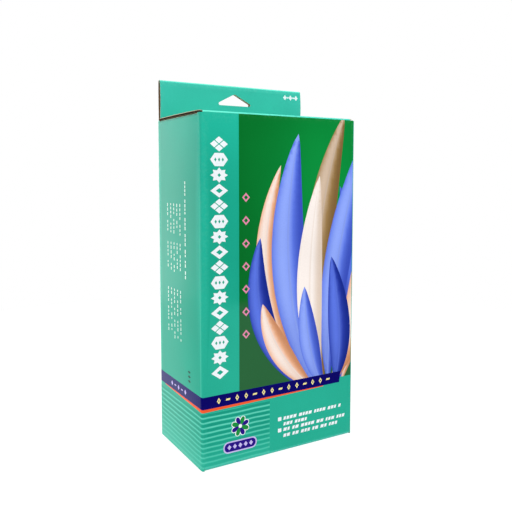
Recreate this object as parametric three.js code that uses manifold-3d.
// Folding carton with a hang header, empty and closed, as it stands on a shelf.
// It is one blank of fluted board, printed outside, folded and glued into a sleeve.
// Millimetres, +Z up. The origin is on the floor under the middle of the body. The front faces -Y.
import * as THREE from "three";
import { mergeVertices } from "three/addons/utils/BufferGeometryUtils.js";
import Module from "manifold-3d";

const wasm = await Module();
wasm.setup();

// Body
const WIDTH = 137; // outside, left to right
const DEPTH = 80; // outside, front to back
const HEIGHT = 260; // floor to the top of the closed lid
const BOARD = 1.5; // thickness of the fluted board
const CLEARANCE = 0.3; // between pieces that lie against each other
const CORNER_INNER = 0.3; // inside radius of the upright creases
const CREASE_INNER = 0.3; // inside radius of the flaps' creases
const GLUE_FLAP = 14; // reach of the sleeve's glue flap, inside the back wall
const GLUE_FLAP_END = 5; // its ends, in from the tips of the tucked flaps
const SEAM_INSET = 0.5; // back wall's free edge, in from the side wall's face

// Hang header: the back wall goes on up and folds over forwards
const HEADER_RISE = 30.5; // above the lid
const HEADER_INSET = 1; // each end, in from the body's side
const LAYER_GAP = 0.5; // between its two layers
const HOLE_WIDTH = 30.5; // hang hole, a triangle with round corners that stands on its base
const HOLE_HEIGHT = 9.7;
const HOLE_ABOVE_LID = 13.8; // from the lid's top to the hole's base
const HOLE_CORNER = 1.3; // radius of its corners

// Lid and tuck flap
const LID_INSET = 0.5; // lid's side edges, in from the body's sides
const NOSE_INNER = 0.5; // inside radius of the fold between lid and tuck flap
const NOSE_INSET = 1.5; // that fold's ends, in from the side walls' inner faces
const TUCK_REACH = 16; // down behind the front wall
const TUCK_INSET = 7; // tuck flap's side edges, in from the side walls' inner faces
const TUCK_LEAN = 8; // degrees that the tuck flap leans away from the wall
const TUCK_CORNER = 5; // radius of its lower corners

// Dust flaps, under the lid and over the bottom panel
const DUST_REACH = 50; // inwards from the side wall's face
const DUST_CREASE_INSET = 5; // crease's ends, in from the body's front and back
const DUST_SHOULDER_IN = 7; // from the side wall's face to the shoulder in the flap's tuck-side edge
const DUST_SHOULDER_BACK = 9; // depth of the shoulder, which lets the tuck flap past
const DUST_TAPER = 5; // narrowing of each edge from the shoulder to the tip
const DUST_CORNER = 4; // radius of the tip's corners
const DUST_LEG = 18; // the bottom's ones also stand against the side walls, glued on inside

const ARC_STEPS = 8; // facets of a fold, for each quarter turn
const MARGIN = 5; // how far a cutting block reaches past what it cuts

const PRINTED = { color: 0x2fb396, roughness: 0.34, metalness: 0 };
const KRAFT = { color: 0xb08a5c, roughness: 0.85, metalness: 0 };

const LEFT = -1;
const RIGHT = 1;
const QUARTER = 90;
const HALF_TURN = 180;

// Places that follow from the sizes above
const halfWidth = WIDTH / 2;
const halfDepth = DEPTH / 2;
const innerHalfWidth = halfWidth - BOARD;
const cornerOuter = CORNER_INNER + BOARD;
const flatHalfWidth = halfWidth - cornerOuter;
const creaseOuter = CREASE_INNER + BOARD;
const lidUnder = HEIGHT - BOARD;
const dustTop = lidUnder - CLEARANCE;
const dustPivotZ = dustTop - creaseOuter;
const dustHalfCrease = halfDepth - DUST_CREASE_INSET;
const headerFront = halfDepth - 2 * BOARD - LAYER_GAP;
const noseOuter = NOSE_INNER + BOARD;
const frontWallInside = -halfDepth + BOARD;
const noseCentre = new THREE.Vector2(frontWallInside + CLEARANCE + noseOuter, HEIGHT - noseOuter);
const noseHalfWidth = innerHalfWidth - NOSE_INSET;
const tuckHalfWidth = innerHalfWidth - TUCK_INSET;
const tuckTip = lidUnder - TUCK_REACH;

const radians = THREE.MathUtils.degToRad;
const at = (x, y, z) => new THREE.Vector3(x, y, z);
const along = (degrees) => new THREE.Vector2(Math.cos(radians(degrees)), Math.sin(radians(degrees)));
const leftOf = (degrees) => along(degrees + QUARTER);

// Outline of a folded sheet, one board thick. The path follows the printed face from a start point and a
// heading in degrees, with the board on its left, through straight runs and turns to the left.
function foldedSheet(start, heading, runs) {
  const printed = [];
  const inside = [];
  let point = start.clone();
  let angle = heading;
  const mark = () => {
    printed.push(point.clone());
    inside.push(point.clone().addScaledVector(leftOf(angle), BOARD));
  };
  mark();
  for (const { straight, turn, inner } of runs) {
    if (straight) {
      point = point.clone().addScaledVector(along(angle), straight);
      mark();
      continue;
    }
    const radius = inner + BOARD;
    const centre = point.clone().addScaledVector(leftOf(angle), radius);
    const steps = Math.ceil((ARC_STEPS * turn) / QUARTER);
    for (let step = 0; step < steps; step += 1) {
      angle += turn / steps;
      point = centre.clone().addScaledVector(leftOf(angle), -radius);
      mark();
    }
  }
  return new THREE.Shape([...printed, ...inside.reverse()]);
}

// Straight edges with rounded corners, through corners in counter-clockwise order, each with its radius
function roundedOutline(corners) {
  const points = [];
  corners.forEach(({ x, y, radius }, index) => {
    const corner = new THREE.Vector2(x, y);
    const before = corners.at(index - 1);
    const after = corners[(index + 1) % corners.length];
    const inward = corner.clone().sub(before).normalize();
    const outward = new THREE.Vector2(after.x, after.y).sub(corner).normalize();
    const turn = inward.clone().cross(outward) > 0 ? Math.acos(inward.dot(outward)) : 0;
    if (!radius || !turn) {
      points.push(corner);
      return;
    }
    const from = corner.clone().addScaledVector(inward, -radius * Math.tan(turn / 2));
    const centre = from.clone().add(new THREE.Vector2(-inward.y, inward.x).multiplyScalar(radius));
    const steps = Math.ceil((ARC_STEPS * turn) / radians(QUARTER));
    for (let step = 0; step <= steps; step += 1) {
      points.push(from.clone().rotateAround(centre, (turn * step) / steps));
    }
  });
  return new THREE.Shape(points);
}

// A shape pushed along one axis, half of the length to each side of the origin. Profiles of what is folded
// about X are drawn in Y and Z, of what is folded about Y in X and Z, and plans in X and Y.
const PLANES = {
  yz: new THREE.Matrix4().makeBasis(at(0, 1, 0), at(0, 0, 1), at(1, 0, 0)),
  xz: new THREE.Matrix4().makeBasis(at(1, 0, 0), at(0, 0, 1), at(0, -1, 0)),
  xy: new THREE.Matrix4(),
};

function pushed(shape, plane, length) {
  const geometry = new THREE.ExtrudeGeometry(shape, { depth: length, bevelEnabled: false });
  geometry.translate(0, 0, -length / 2);
  return geometry.applyMatrix4(PLANES[plane]);
}

function block(low, high) {
  const size = high.clone().sub(low);
  const middle = high.clone().add(low).divideScalar(2);
  return new THREE.BoxGeometry(size.x, size.y, size.z).translate(middle.x, middle.y, middle.z);
}

function solid(geometry) {
  const bare = geometry.clone();
  bare.deleteAttribute("normal");
  bare.deleteAttribute("uv");
  const merged = mergeVertices(bare);
  const mesh = new wasm.Mesh({
    numProp: 3,
    vertProperties: new Float32Array(merged.attributes.position.array),
    triVerts: new Uint32Array(merged.index.array),
  });
  return new wasm.Manifold(mesh);
}

function geometryOf(manifold) {
  const mesh = manifold.getMesh();
  const geometry = new THREE.BufferGeometry();
  geometry.setAttribute("position", new THREE.BufferAttribute(new Float32Array(mesh.vertProperties), 3));
  geometry.setIndex(new THREE.BufferAttribute(new Uint32Array(mesh.triVerts), 1));
  geometry.computeVertexNormals();
  return geometry;
}

function cut(geometry, ...cutters) {
  return geometryOf(cutters.reduce((rest, cutter) => rest.subtract(solid(cutter)), solid(geometry)));
}

function common(geometry, other) {
  return geometryOf(solid(geometry).intersect(solid(other)));
}

// Outline round a triangle of circles, given by their centres in counter-clockwise order
function roundTriangle(centres, radius) {
  const points = centres.flatMap((centre, index) => {
    const before = centre.clone().sub(centres.at(index - 1)).normalize();
    const after = centres[(index + 1) % centres.length].clone().sub(centre).normalize();
    const turn = Math.acos(before.dot(after));
    const from = new THREE.Vector2(before.y, -before.x).multiplyScalar(radius).add(centre);
    const steps = Math.ceil((ARC_STEPS * turn) / radians(QUARTER));
    return Array.from({ length: steps + 1 }, (_, step) => from.clone().rotateAround(centre, (turn * step) / steps));
  });
  return new THREE.Shape(points);
}

// What the top end takes off the sleeve: the front wall reaches the lid's underside, and the other walls
// stay clear of it. The side walls stop lower still under the dust flaps' creases.
function endCutters() {
  const reachX = halfWidth + MARGIN;
  const reachY = halfDepth + MARGIN;
  const above = HEIGHT + MARGIN;
  const frontWall = block(
    at(-flatHalfWidth, -reachY, dustTop - MARGIN),
    at(flatHalfWidth, frontWallInside + CLEARANCE, lidUnder),
  );
  const flapHalf = dustHalfCrease + CLEARANCE;
  return [
    cut(block(at(-reachX, -reachY, dustTop), at(reachX, reachY, above)), frontWall),
    block(at(-reachX, -flapHalf, dustPivotZ - CLEARANCE), at(reachX, flapHalf, above)),
  ];
}

// Four walls and the glue flap, one strip that starts at the back wall's free edge. All stand on the floor
// but the front wall, which makes room for the bottom panel's crease.
function sleeve() {
  const glueFace = halfDepth - BOARD - CLEARANCE;
  const corner = { turn: QUARTER, inner: CORNER_INNER };
  const outline = foldedSheet(new THREE.Vector2(halfWidth - SEAM_INSET, halfDepth), HALF_TURN, [
    { straight: WIDTH - SEAM_INSET - cornerOuter },
    corner,
    { straight: DEPTH - 2 * cornerOuter },
    corner,
    { straight: WIDTH - 2 * cornerOuter },
    corner,
    { straight: glueFace + halfDepth - 2 * cornerOuter },
    corner,
    { straight: GLUE_FLAP },
  ]);
  const walls = pushed(outline, "xy", HEIGHT).translate(0, 0, HEIGHT / 2);
  const creaseRoom = block(
    at(-flatHalfWidth, -halfDepth - MARGIN, -MARGIN),
    at(flatHalfWidth, frontWallInside + CLEARANCE, creaseOuter + CLEARANCE),
  );
  const glueFlapTop = tuckTip - GLUE_FLAP_END;
  const glueFlapEnd = () =>
    block(
      at(flatHalfWidth - GLUE_FLAP - MARGIN, glueFace - BOARD - CLEARANCE, glueFlapTop),
      at(flatHalfWidth, glueFace + CLEARANCE / 2, HEIGHT + MARGIN),
    );
  return cut(
    walls,
    ...endCutters(),
    creaseRoom,
    glueFlapEnd(),
    glueFlapEnd().translate(0, 0, -glueFlapTop - MARGIN),
  );
}

// Two layers joined by the fold along the top, with the hang hole through both
function hangHeader() {
  const foldInner = LAYER_GAP / 2;
  const straight = HEIGHT + HEADER_RISE - foldInner - BOARD - lidUnder;
  const outline = foldedSheet(new THREE.Vector2(halfDepth, lidUnder), QUARTER, [
    { straight },
    { turn: HALF_TURN, inner: foldInner },
    { straight },
  ]);
  const holeBase = HEIGHT + HOLE_ABOVE_LID;
  const centres = [
    new THREE.Vector2(HOLE_CORNER - HOLE_WIDTH / 2, holeBase + HOLE_CORNER),
    new THREE.Vector2(HOLE_WIDTH / 2 - HOLE_CORNER, holeBase + HOLE_CORNER),
    new THREE.Vector2(0, holeBase + HOLE_HEIGHT - HOLE_CORNER),
  ];
  const hole = roundTriangle(centres, HOLE_CORNER);
  return cut(pushed(outline, "yz", WIDTH - 2 * HEADER_INSET), pushed(hole, "xz", 2 * DEPTH));
}

// A panel that closes one end, drawn as the lid, from its back edge to the end of the fold at the front.
// The fold is narrower than the panel, so that it passes between the side walls.
function closingPanel(start, heading, lead, width) {
  const outline = foldedSheet(start, heading, [...lead, { turn: QUARTER + TUCK_LEAN, inner: NOSE_INNER }]);
  const panel = pushed(outline, "yz", width);
  const besideFold = block(
    at(noseHalfWidth, -halfDepth, tuckTip),
    at(halfWidth + MARGIN, noseCentre.x, HEIGHT + MARGIN),
  );
  return cut(panel, besideFold, besideFold.clone().translate(-noseHalfWidth - halfWidth - MARGIN, 0, 0));
}

function lidPanel() {
  const start = new THREE.Vector2(headerFront - CLEARANCE, HEIGHT);
  const lead = [{ straight: start.x - noseCentre.x }];
  return closingPanel(start, HALF_TURN, lead, WIDTH - 2 * LID_INSET);
}

// Like the lid, but it lies between the side walls and hangs on the front wall by a crease of its own. It is
// drawn upside down, with front and back changed over.
function bottomPanel() {
  const start = new THREE.Vector2(halfDepth, HEIGHT - creaseOuter);
  const lead = [{ turn: QUARTER, inner: CREASE_INNER }, { straight: halfDepth - creaseOuter - noseCentre.x }];
  const panel = closingPanel(start, QUARTER, lead, 2 * (flatHalfWidth - CLEARANCE));
  return panel.rotateX(Math.PI).translate(0, 0, HEIGHT);
}

// Flat flap that goes down behind the front wall, with its hinge line along the origin
function tuckFlap() {
  const outline = roundedOutline([
    { x: -tuckHalfWidth, y: -TUCK_REACH, radius: TUCK_CORNER },
    { x: tuckHalfWidth, y: -TUCK_REACH, radius: TUCK_CORNER },
    { x: tuckHalfWidth, y: 0 },
    { x: -tuckHalfWidth, y: 0 },
  ]);
  return pushed(outline, "xz", BOARD).translate(0, -BOARD / 2, 0);
}

// Flap that folds inwards at the top of a side wall, with its crease. The printed face of the crease's foot
// is at the distance face from the middle, and a leg, if any, goes down from there along the wall.
function dustFlap(side, face, leg) {
  const tip = halfWidth - DUST_REACH;
  const straight = face - creaseOuter - tip;
  const crease = { turn: QUARTER, inner: CREASE_INNER };
  const down = leg ? [{ straight: leg }] : [];
  const outline =
    side === RIGHT
      ? foldedSheet(new THREE.Vector2(face, dustPivotZ - leg), QUARTER, [...down, crease, { straight }])
      : foldedSheet(new THREE.Vector2(-tip, dustTop), HALF_TURN, [{ straight }, crease, ...down]);
  const front = DUST_SHOULDER_BACK - dustHalfCrease;
  const plan = [
    { x: tip, y: front + DUST_TAPER, radius: DUST_CORNER },
    { x: halfWidth - DUST_SHOULDER_IN, y: front },
    { x: face - creaseOuter, y: -dustHalfCrease },
    { x: halfWidth + MARGIN, y: -dustHalfCrease },
    { x: halfWidth + MARGIN, y: dustHalfCrease },
    { x: face - creaseOuter, y: dustHalfCrease },
    { x: tip, y: dustHalfCrease - DUST_TAPER, radius: DUST_CORNER },
  ];
  const planOfSide = side === RIGHT ? plan : plan.map((corner) => ({ ...corner, x: -corner.x })).reverse();
  const prism = pushed(roundedOutline(planOfSide), "xy", 2 * HEIGHT);
  return common(pushed(outline, "xz", DEPTH), prism);
}

function piece(name, geometry, finish) {
  const mesh = new THREE.Mesh(geometry, new THREE.MeshStandardMaterial(finish));
  mesh.name = name;
  return mesh;
}

// The flaps of one end, drawn at the top
function flaps(prefix, face, leg) {
  const end = new THREE.Group();
  const heading = HALF_TURN + QUARTER + TUCK_LEAN;
  const tuck = piece(`${prefix}tuck_flap`, tuckFlap(), PRINTED);
  const hinge = noseCentre.clone();
  hinge.addScaledVector(leftOf(heading), -NOSE_INNER).addScaledVector(along(heading), CLEARANCE);
  tuck.position.set(0, hinge.x, hinge.y);
  tuck.rotation.x = radians(TUCK_LEAN);
  end.add(
    tuck,
    piece(`${prefix}dust_flap_left`, dustFlap(LEFT, face, leg), KRAFT),
    piece(`${prefix}dust_flap_right`, dustFlap(RIGHT, face, leg), KRAFT),
  );
  return end;
}

const carton = new THREE.Group();
carton.add(
  piece("sleeve", sleeve(), PRINTED),
  piece("hang_header", hangHeader(), PRINTED),
  piece("lid_panel", lidPanel(), PRINTED),
  piece("bottom_panel", bottomPanel(), PRINTED),
  flaps("", halfWidth, 0),
);
const bottomFlaps = flaps("bottom_", innerHalfWidth - CLEARANCE, DUST_LEG);
bottomFlaps.rotation.x = Math.PI;
bottomFlaps.position.z = HEIGHT;
carton.add(bottomFlaps);

export default carton;
